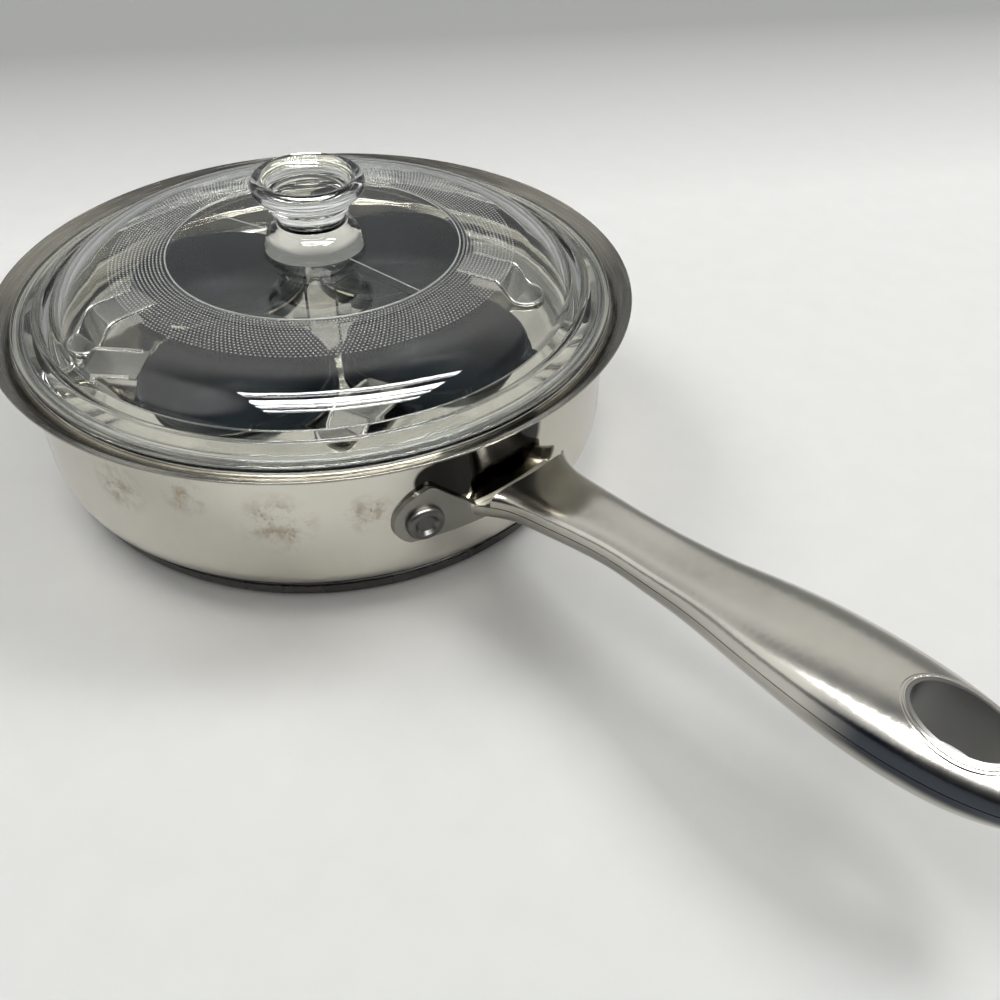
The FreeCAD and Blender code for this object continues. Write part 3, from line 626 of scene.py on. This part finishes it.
# %% Pan shell
SHEET, CORNER = 0.9, 14
FLOOR_Z, STEP_Z, RIM_Z = 5.2, 58.6, 63
WALL_R, STEP_R, LIP_R = 106, 107.9, 115
BEND, STEP_FILLET, LIP_FILLET = 1.2, 0.8, 0.4
pan_section = rounded([
    (0, FLOOR_Z, 0), (WALL_R, FLOOR_Z, CORNER), (WALL_R, STEP_Z - SHEET, BEND),
    (STEP_R, STEP_Z - SHEET, STEP_FILLET), (LIP_R, RIM_Z - SHEET, LIP_FILLET),
    (LIP_R, RIM_Z, LIP_FILLET), (STEP_R, STEP_Z, STEP_FILLET), (WALL_R - SHEET, STEP_Z, STEP_FILLET),
    (WALL_R - SHEET, FLOOR_Z + SHEET, CORNER - SHEET), (0, FLOOR_Z + SHEET, 0),
], 8)
pan_shell = turned("pan_body", pan_section, PAN_STEEL, 256)
dress(pan_shell, "pan", "pan_wall", "pan_shell")

# %% [markdown]
# ## Smoothed CAD pieces
# Pressed and bent pieces keep their CAD shape. Their mesh comes as loose triangles, so a
# copy is merged and shaded smooth up to an angle. Building them again by hand would only
# risk a different shape.

# %% Copies with smooth shading
SHARP_PAST = 35


def smoothed(node, name, finish, body, slot_name):
    """A merged, smooth copy of a CAD node with its finish."""
    obj = bpy.data.objects.new(name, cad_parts[node].data.copy())
    scene.collection.objects.link(obj)
    obj.data.materials.clear()
    obj.data.materials.append(finish)
    set_normals(obj.data, SHARP_PAST, recalculate=False)
    dress(obj, body, slot_name, node)
    return obj


smoothed("base_core", "heat_disc", CORE_METAL, "pan", "base_core")
smoothed("base_cap", "base_pan_cap", CAP_SHADED_STEEL, "pan", "base_cap")
smoothed("handle_bracket", "bracket_ear", BRACKET_STEEL, "pan", "bracket")
smoothed("bracket_rivet", "ear_rivet", RIVET_SHADED_STEEL, "pan", "rivet")
handle_top = smoothed("handle_upper_shell", "handle_top", HANDLE_STEEL, "pan", "handle")
smoothed("handle_lower_shell", "handle_underside", HANDLE_STEEL, "pan", "handle")
smoothed("hang_hole_ferrule", "hole_sleeve", FERRULE_SHADED_STEEL, "pan", "ferrule")
smoothed("tray_plate", "cup_tray", TRAY_STEEL, "tray", "tray")
smoothed("tray_lift_loop", "tray_loop", LOOP_STEEL, "tray", "lift_loop")
for i in range(1, 5):
    smoothed(f"cup_tab_{i}", f"finger_tab_{i}", TAB_STEEL, f"cup_{i}", "cup_tab")

# %% [markdown]
# ## Egg cups
# Four equal coated cups, each a bowl with a ledge that rests on its collar and a short wall
# above it. They are turned from one section on their own axes, because each one lifts with
# its own body. Instances could share one mesh, but each body needs a mesh of its own.

# %% Egg cups
CUP_CIRCLE, FIRST_CUP = 50, 18
CUP_CENTRES = [on_circle(CUP_CIRCLE, FIRST_CUP + 90 * i) for i in range(4)]
CUP_R, LEDGE_R, CUP_WALL = 32.2, 34.2, 1
CUP_FOOT_Z, LEDGE_Z, CUP_TOP_Z = 25, 46, 52
BOWL, LEDGE_FILLET, INNER_FILLET, TOP_FILLET = 19, 0.3, 0.4, 0.45
cup_section = rounded([
    (0, CUP_FOOT_Z, 0), (CUP_R, CUP_FOOT_Z, BOWL), (CUP_R, LEDGE_Z, LEDGE_FILLET),
    (LEDGE_R, LEDGE_Z, LEDGE_FILLET), (LEDGE_R, LEDGE_Z + CUP_WALL, INNER_FILLET),
    (CUP_R, LEDGE_Z + CUP_WALL, INNER_FILLET), (CUP_R, CUP_TOP_Z, TOP_FILLET),
    (CUP_R - CUP_WALL, CUP_TOP_Z, TOP_FILLET), (CUP_R - CUP_WALL, CUP_FOOT_Z + CUP_WALL, BOWL - CUP_WALL),
    (0, CUP_FOOT_Z + CUP_WALL, 0),
], 6)
for i, spot in enumerate(CUP_CENTRES, 1):
    cup = turned(f"coated_cup_{i}", cup_section, CUP_COATING, 96, spot)
    dress(cup, f"cup_{i}", "cup_coating", f"egg_cup_{i}")

# %% [markdown]
# ## Rolled edges
# The finger tabs, the hang hole and the lid's mould lines all end in a small round bead that
# follows a line. One tree sweeps a circle along any line of edges, so only the lines
# differ. A bevel could round the tab edges too, but it can't stand proud of the sheet.

# %% The bead tree
BEAD_SMOOTH = 60


def bead_tree():
    """A small circle swept along a line, with its ends closed."""
    tree, ids, get = new_tree("bead_on_line", {
        "Line": "Geometry", "Bead Radius": "Float", "Sides": "Int", "Finish": "Material"}, "Bead")
    line = add_node(tree, "GeometryNodeMeshToCurve", Mesh=get["Line"])
    ring = add_node(tree, "GeometryNodeCurvePrimitiveCircle", Resolution=get["Sides"],
                    Radius=get["Bead Radius"])
    sweep = add_node(tree, "GeometryNodeCurveToMesh", Curve=line.outputs[0],
                     Profile_Curve=ring.outputs[0], Fill_Caps=True)
    end_tree(tree, sweep.outputs[0], get["Finish"])
    return tree, ids


BEAD, BEAD_IDS = bead_tree()


def beaded(name, lines, radius, finish, body, closed=False, sides=12):
    """Round beads of a radius in mm along lines of points in mm."""
    verts, edges = [], []
    for line in lines:
        first = len(verts)
        verts += [[v * MM for v in point] for point in line]
        edges += [(k, k + 1) for k in range(first, len(verts) - 1)]
        if closed:
            edges.append((len(verts) - 1, first))
    values = {"Bead Radius": radius * MM, "Sides": sides, "Finish": finish}
    obj = grown(name, BEAD, BEAD_IDS, values, verts, edges)
    set_normals(obj.data, BEAD_SMOOTH)
    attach(obj, body)
    print(name, "from", len(verts), "points,", len(obj.data.polygons), "faces")


print("bead tree has", len(BEAD.nodes), "nodes")

# %% [markdown]
# ### Edges of the finger tabs
# Each tab is a strip with a round tip that leaves the cup level, drops in a soft S and ends
# level above the tray. Its edge is rolled, which gives the bright line round the tab, and
# the bead's steel is paler than the tab's, a painted highlight on top of the real one. The
# bead's line is the tab's outline laid flat, with a height for each point.

# %% Tab edges
TAB_ANGLES = (287, 20, 273, 223)
TAB_START, TAB_TIP, TAB_HALF = 33.4, 58.6, 7.9
TAB_TOP_Z, TAB_DROP = 52.7, 6.6
S_START, S_RUN = 49.8, 8.4
SIDE_STEPS, TIP_STEPS = 24, 16
TAB_BEAD = 0.85


def tab_height(reach):
    """Bead height along a tab: level, a soft drop, level again just above the tray."""
    t = min(max((reach - S_START) / S_RUN, 0), 1)
    return TAB_TOP_Z - TAB_DROP * t * t * (3 - 2 * t)


tab_side = [(TAB_START + (TAB_TIP - TAB_START) * k / SIDE_STEPS, TAB_HALF) for k in range(SIDE_STEPS)]
tip_angles = [math.pi * k / TIP_STEPS for k in range(TIP_STEPS + 1)]
tab_outline = tab_side + [(TAB_TIP + TAB_HALF * math.sin(a), TAB_HALF * math.cos(a)) for a in tip_angles]
tab_outline += [(x, -y) for x, y in reversed(tab_side)]
for i, (spot, degrees) in enumerate(zip(CUP_CENTRES, TAB_ANGLES), 1):
    c, s = on_circle(1, degrees)
    line = [(spot[0] + x * c - y * s, spot[1] + x * s + y * c, tab_height(x)) for x, y in tab_outline]
    beaded(f"tab_edge_{i}", [line], TAB_BEAD, EDGE_HIGHLIGHT_STEEL, f"cup_{i}")

# %% [markdown]
# ### Rim of the hang hole
# The handle's skin is turned into the hang hole over a soft rim. The rim follows the curved
# top of the handle, so each of its points is found by a ray cast down onto that skin. A
# flat ring would stand off at the sides.

# %% Hang hole rim
RIM_POINTS, RIM_OFFSET, RIM_SINK, RIM_BEAD = 72, 0.9, 1.1, 1.25
RAY_START = 0.3

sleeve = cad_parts["hang_hole_ferrule"]
low, high = box_ends([sleeve.matrix_world @ Vector(c) for c in sleeve.bound_box])
middle, half = (low + high) / 2 / MM, (high - low) / 2 / MM
top_skin = BVHTree.FromObject(handle_top, bpy.context.evaluated_depsgraph_get())
rim_line = []
for k in range(RIM_POINTS):
    c, s = on_circle(1, 360 * k / RIM_POINTS)
    x, y = middle.x + (half.x + RIM_OFFSET) * c, middle.y + (half.y + RIM_OFFSET) * s
    hit = top_skin.ray_cast(Vector((x * MM, y * MM, RAY_START)), Vector((0, 0, -1)))[0]
    rim_line.append((x, y, hit.z / MM - RIM_SINK))
beaded("hole_rim", [rim_line], RIM_BEAD, HANDLE_STEEL, "pan", closed=True)

# %% [markdown]
# ## Glass lid
# Dome, flange and knob are one pressed piece of glass. The section goes from the dish on
# top of the knob down to the flat disc, over the shoulder to the flange, round the edge and
# back along the inside. Knob and flange are given as shares of their size, so that they
# can be made larger or smaller in one place.

# %% Lid sizes
SEAT_Z = 59.5
DISC_Z = SEAT_Z + 18.4
DISC_R, DISC_ROUND, DISC_EDGE, DISC_GLASS = 52.6, 0.6, 0.35, 4
SHOULDER = (75.9, SEAT_Z + 16.5)
SHOULDER_GLASS = (0.6, 3.9)
DOME_BULGE, SHOULDER_BULGE = 0.010, 0.132
KNOB_R, KNOB_H = 19.6, 25.6
KNOB = [(0, 0.81, 0), (0.56, 0.81, -0.10), (0.82, 0.98, 0.12), (0.91, 1, 0.20), (1, 0.87, 0.20),
        (0.80, 0.70, 0), (0.77, 0.65, 0.15), (0.67, 0.52, 0), (0.62, 0.45, 0), (0.60, 0.41, -0.05),
        (0.63, 0.35, 0.12), (0.87, 0.10, 0), (0.92, 0, 0)]
NECK = (93.5, SEAT_Z + 5.4)
NECK_GLASS = (3.4, 2.4)
FLANGE_R, FLANGE_H = 107.2, 2.6
FLANGE = [(0.20, 1.5, 0.12), (0.46, 1.8, 0), (0.68, 1.3, -0.08), (0.95, 1, 0.18), (1, 0.8, 0),
          (1, 0.2, 0), (0.98, 0, 0)]
SKIRT_OUT, SKIRT_IN, SKIRT_Z = 101.6, 98.6, SEAT_Z - 4.5
print("lid seat at", SEAT_Z, "disc at", round(DISC_Z, 2), "knob top at", round(DISC_Z + KNOB_H, 2), "mm")

# %% Glass lid
lid_outline = [(KNOB_R * r, DISC_Z + KNOB_H * h, b) for r, h, b in KNOB]
lid_outline += [(DISC_R - DISC_ROUND, DISC_Z, 0), (DISC_R, DISC_Z - DISC_EDGE, DOME_BULGE),
                (*SHOULDER, SHOULDER_BULGE), (*NECK, 0)]
lid_outline += [(NECK[0] + (FLANGE_R - NECK[0]) * r, SEAT_Z + FLANGE_H * h, b) for r, h, b in FLANGE]
lid_outline += [(SKIRT_OUT, SEAT_Z, 0), (SKIRT_OUT, SKIRT_Z, 0), (SKIRT_IN, SKIRT_Z, 0),
                (NECK[0] - NECK_GLASS[0], NECK[1] - NECK_GLASS[1], -SHOULDER_BULGE),
                (SHOULDER[0] - SHOULDER_GLASS[0], SHOULDER[1] - SHOULDER_GLASS[1], -DOME_BULGE),
                (DISC_R - DISC_ROUND, DISC_Z - DISC_GLASS, 0), (0, DISC_Z - DISC_GLASS, 0)]
lid_section = [Vector(lid_outline[0][:2])]
for here, there in zip(lid_outline, lid_outline[1:]):
    lid_section += arc(here[:2], there[:2], here[2])
lid = turned("lid_and_knob", lid_section, LID_GLASS, 256, smooth_angle=30)
dress(lid, "lid", "lid_glass", "lid_glass")

# %% [markdown]
# ### Stipple band of the lid
# Between the clear disc and the shoulder the mould leaves staggered rows of small beads.
# They repeat by a rule, so a tree lays a grid, bends it into rings on the dome's arc and
# sets one low bead on each point. A bump texture would vanish in a mesh export.

# %% The stipple tree
def ring_angle(tree, index, beads):
    """A bead's angle on its ring, every second ring moved on by half a step."""
    ring = math_node(tree, "FLOOR", math_node(tree, "DIVIDE", index, beads))
    shift = times(tree, math_node(tree, "MODULO", ring, 2.0), 0.5)
    bead = math_node(tree, "MODULO", index, beads)
    step = math_node(tree, "DIVIDE", 2 * math.pi, beads)
    return times(tree, math_node(tree, "ADD", bead, shift), step)


def arc_height(tree, radius, get):
    """The dome's height over a radius, from its arc's centre and radius."""
    off = math_node(tree, "SUBTRACT", radius, get["Arc Centre Radius"])
    drop = math_node(tree, "SUBTRACT", times(tree, get["Arc Radius"], get["Arc Radius"]),
                     times(tree, off, off))
    return math_node(tree, "ADD", get["Arc Centre Height"], math_node(tree, "SQRT", drop))


def stipple_tree():
    """Flattened beads on staggered rings that lie on an arc."""
    tree, ids, get = new_tree("stipple_band", {
        "Rings": "Int", "Beads": "Int", "Inner Radius": "Float", "Outer Radius": "Float",
        "Arc Centre Radius": "Float", "Arc Centre Height": "Float", "Arc Radius": "Float",
        "Bead Radius": "Float", "Finish": "Material"}, "Stipple")
    grid = add_node(tree, "GeometryNodeMeshGrid", Size_X=1.0, Size_Y=1.0, Vertices_X=get["Rings"],
                    Vertices_Y=get["Beads"])
    position = add_node(tree, "GeometryNodeInputPosition").outputs[0]
    at = add_node(tree, "ShaderNodeSeparateXYZ", Vector=position)
    across = math_node(tree, "ADD", at.outputs[0], 0.5)
    index = add_node(tree, "GeometryNodeInputIndex").outputs[0]
    angle = ring_angle(tree, index, get["Beads"])
    span = math_node(tree, "SUBTRACT", get["Outer Radius"], get["Inner Radius"])
    radius = math_node(tree, "ADD", get["Inner Radius"], times(tree, across, span))
    spot = add_node(tree, "ShaderNodeCombineXYZ", X=times(tree, radius, math_node(tree, "COSINE", angle)),
                    Y=times(tree, radius, math_node(tree, "SINE", angle)),
                    Z=arc_height(tree, radius, get))
    moved = add_node(tree, "GeometryNodeSetPosition", Geometry=grid.outputs[0], Position=spot.outputs[0])
    ball = add_node(tree, "GeometryNodeMeshIcoSphere", Radius=get["Bead Radius"], Subdivisions=1)
    low_bead = add_node(tree, "GeometryNodeTransform", Geometry=ball.outputs[0], Scale=(1.0, 1.0, 0.5))
    beads = add_node(tree, "GeometryNodeInstanceOnPoints", Points=moved.outputs[0],
                     Instance=low_bead.outputs[0])
    end_tree(tree, beads.outputs[0], get["Finish"])
    return tree, ids


STIPPLE, STIPPLE_IDS = stipple_tree()
print("stipple tree has", len(STIPPLE.nodes), "nodes")

# %% Stipple band
STIPPLE_RINGS, STIPPLE_BEADS = 15, 290
STIPPLE_IN, STIPPLE_OUT, STIPPLE_BEAD = 53.6, 71.3, 0.40
STIPPLE_SMOOTH = 80
centre, radius = arc_centre((DISC_R, DISC_Z - DISC_EDGE), SHOULDER, DOME_BULGE)
stipple = grown("lid_stipple", STIPPLE, STIPPLE_IDS, {
    "Rings": STIPPLE_RINGS, "Beads": STIPPLE_BEADS, "Inner Radius": STIPPLE_IN * MM,
    "Outer Radius": STIPPLE_OUT * MM, "Arc Centre Radius": centre.x * MM,
    "Arc Centre Height": centre.y * MM, "Arc Radius": radius * MM,
    "Bead Radius": STIPPLE_BEAD * MM, "Finish": STIPPLE_GLINT_GLASS})
set_normals(stipple.data, STIPPLE_SMOOTH)
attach(stipple, "lid")
print("stipple beads:", STIPPLE_RINGS * STIPPLE_BEADS, "triangles:", len(stipple.data.polygons))

# %% [markdown]
# ### Fine lines of the mould
# Where the halves of a glass mould meet, a thin raised seam runs over the clear disc, and
# turning marks leave fine rings at the disc's edge and on the flange. They are thin beads
# partly sunk in the glass. A bump could draw them too, but it would vanish in a mesh export.

# %% Mould seam, disc edge and flange rings
SEAMS = ((6.1, 18.2, 51.8), (198, 18.2, 46.0))
FINE_BEAD, FINE_SIDES, FINE_SINK = 0.3, 8, 0.12
EDGE_INSET = 0.5
RING_REACHES = (94.4, 97.2, 98.9, 101.4, 104.6)
TOP_SIDE = SEAT_Z + 2


def ring_line(radius, height, points):
    """A level ring of points, sunk a little into the glass."""
    return [(*on_circle(radius, 360 * k / points), height - FINE_SINK) for k in range(points)]


seam_lines = []
for degrees, start, end in SEAMS:
    spots = [on_circle(r, degrees) for r in (start, (start + end) / 2, end)]
    seam_lines.append([(*spot, DISC_Z - FINE_SINK) for spot in spots])
beaded("mould_seam", seam_lines, FINE_BEAD, STIPPLE_GLINT_GLASS, "lid", sides=FINE_SIDES)
edge_line = ring_line(DISC_R - EDGE_INSET, DISC_Z, 180)
beaded("disc_edge", [edge_line], FINE_BEAD, STIPPLE_GLINT_GLASS, "lid", closed=True,
       sides=FINE_SIDES)
top_points = [p for p in lid_section if p.y > TOP_SIDE]
nearest = [min(top_points, key=lambda p: abs(p.x - reach)) for reach in RING_REACHES]
ring_lines = [ring_line(p.x, p.y, 240) for p in nearest]
beaded("flange_rings", ring_lines, FINE_BEAD, LID_GLASS, "lid", closed=True,
       sides=FINE_SIDES)

# %% [markdown]
# ## Floor and light
# The pan stands on a pale sheet that keeps its shadow and turns greyer behind it, a painted
# shade. Polished steel shows little but its surroundings, so a room is painted for it in
# the world below.

# %% Floor
FLOOR_HALF = 4
BEHIND_WAY, BEHIND_FADE = (-0.8387, 0.5446, 0), (0.17, 0.48)
# The grey behind the pan is painted shade on the floor sheet.
BEHIND_PAINTED_SHADE = (0.36, 0.365, 0.36)

floor_mesh = bpy.data.meshes.new("pale_floor")
floor_corners = [(FLOOR_HALF * x, FLOOR_HALF * y, 0) for x, y in ((-1, -1), (1, -1), (1, 1), (-1, 1))]
floor_mesh.from_pydata(floor_corners, [], [(0, 1, 2, 3)])
floor = bpy.data.objects.new("pale_floor", floor_mesh)
scene.collection.objects.link(floor)
paper, paper_shader = new_finish("floor_paper", (0.80, 0.80, 0.78), 0.6)
paper_shader.inputs["Specular IOR Level"].default_value = 0.1
sheet = paper.node_tree
place = object_coords(sheet)
pale = ramp(sheet, noise(sheet, place, 60, 3), (0.3, (0.785, 0.785, 0.77)), (0.7, (0.805, 0.805, 0.79)))
far = fade(sheet, reach_along(sheet, place, BEHIND_WAY), *BEHIND_FADE)
feed(sheet, mix(sheet, far, pale, BEHIND_PAINTED_SHADE), paper_shader, "Base Color")
floor_mesh.materials.append(paper)
print("floor laid,", 2 * FLOOR_HALF, "m wide")

# %% [markdown]
# ### The room
# The world plays three parts. The camera, and a look straight through the glass, meet one
# plain pale tone. Matt surfaces get an even soft light. Mirrored rays meet a graded room:
# a dark low band, bright walls above it, a dark ceiling, a dim side where the viewer stands
# and one bright pane. The Light Path node tells the rays apart. A picture of a real room
# could light the pan too, but a few bands can be tuned one by one.

# %% World
ROOM_BANDS = (
    (0.0, (0.50, 0.50, 0.49)), (0.2, (0.28, 0.285, 0.285)), (0.47, (0.25, 0.258, 0.26)),
    (0.565, (0.68, 0.675, 0.65)), (0.72, (0.80, 0.795, 0.77)), (0.84, (0.66, 0.655, 0.63)),
    (0.93, (0.24, 0.245, 0.245)), (1.0, (0.14, 0.143, 0.145)))
VIEWER_WAY, VIEWER_FADE, VIEWER_DARK = (0.687, -0.446, 0.574), (-0.05, 0.75), (0.02, 0.022, 0.028)
PANE_WAY, PANE_FADE, PANE_WHITE = (-0.32, -0.70, 0.64), (0.88, 0.96), (1.0, 1.0, 0.98)
SOFT_LEVEL = 0.37
PALE_TONE = (0.80, 0.80, 0.79, 1)

world = bpy.data.worlds.new("pale_room")
scene.world = world
world.use_nodes = True
room = world.node_tree
room.nodes.clear()
path = add_node(room, "ShaderNodeLightPath").outputs
direction = add_node(room, "ShaderNodeTexCoord").outputs["Generated"]
rise = add_node(room, "ShaderNodeSeparateXYZ", Vector=direction).outputs[2]
walls = ramp(room, rise, *ROOM_BANDS)
shade = fade(room, reach_along(room, direction, VIEWER_WAY), *VIEWER_FADE, soft=True)
pane = fade(room, reach_along(room, direction, PANE_WAY), *PANE_FADE, soft=True)
graded = mix(room, pane, mix(room, shade, walls, VIEWER_DARK), PANE_WHITE)
mirrored = add_node(room, "ShaderNodeBackground", Color=graded, Strength=1.0)
soft = add_node(room, "ShaderNodeBackground", Color=(1, 1, 0.98, 1), Strength=SOFT_LEVEL)
shown = add_node(room, "ShaderNodeBackground", Color=PALE_TONE, Strength=1.0)
bounced = math_node(room, "GREATER_THAN", path["Glossy Depth"], 0.5)
glossy = math_node(room, "ADD", path["Is Glossy Ray"], bounced, clamp=True)
either = add_node(room, "ShaderNodeMixShader", _0=glossy, _1=soft.outputs[0], _2=mirrored.outputs[0])
unbounced = math_node(room, "SUBTRACT", 1.0, bounced)
through = times(room, path["Is Transmission Ray"], unbounced)
seen = math_node(room, "ADD", path["Is Camera Ray"], through, clamp=True)
final = add_node(room, "ShaderNodeMixShader", _0=seen, _1=either.outputs[0], _2=shown.outputs[0])
room.links.new(final.outputs[0], add_node(room, "ShaderNodeOutputWorld").inputs[0])
print("room has", len(room.nodes), "nodes")

# %% [markdown]
# ### Lamps
# Three soft boxes light the pan: one behind it to the right, one behind it to the left and
# one above. They are hidden from mirrors and glass, so that they leave no square marks
# there. Four long ceiling strips do the opposite: they make the bright lines in the lid and
# the steel, and give the matt surfaces no light.

# %% Soft boxes and ceiling strips
STRIPS = ((0.0, 0.09), (0.40, 0.20), (0.63, 0.09), (0.90, 0.08))
STRIP_START, STRIP_WAY = Vector((0.45, 0.07, 1.5)), Vector((0.76, -0.65, 0))
STRIP_LENGTH, STRIP_TURN, STRIP_POWER = 1.9, 49.5, 260
PAN_MIDDLE = (0.05, 0, 0.03)
SOFT_BOXES = (("key_softbox", (0.31, 1.2, 1.6), PAN_MIDDLE, 0.7, 16.8),
              ("side_softbox", (-1.25, -0.31, 1.6), PAN_MIDDLE, 0.9, 14.2),
              ("fill_softbox", (0.0, 0, 1.4), (0.0, 0, 0), 1.2, 2.1))


def area_lamp(name, place, width, length, power):
    """An area lamp that shines straight down."""
    lamp = bpy.data.lights.new(name, "AREA")
    lamp.shape = "RECTANGLE"
    lamp.size, lamp.size_y, lamp.energy = width, length, power
    obj = bpy.data.objects.new(name, lamp)
    scene.collection.objects.link(obj)
    obj.location = place
    return obj


for k, (shift, width) in enumerate(STRIPS, 1):
    spot = STRIP_START + shift * STRIP_WAY
    strip = area_lamp(f"ceiling_strip_{k}", spot, STRIP_LENGTH, width, STRIP_POWER * width)
    strip.rotation_euler = (0, 0, math.radians(STRIP_TURN))
    strip.visible_diffuse = False
for name, spot, target, side, power in SOFT_BOXES:
    box = area_lamp(name, spot, side, side, power)
    box.rotation_euler = (Vector(target) - Vector(spot)).to_track_quat("-Z", "Y").to_euler()
    box.visible_glossy = False
    box.visible_transmission = False
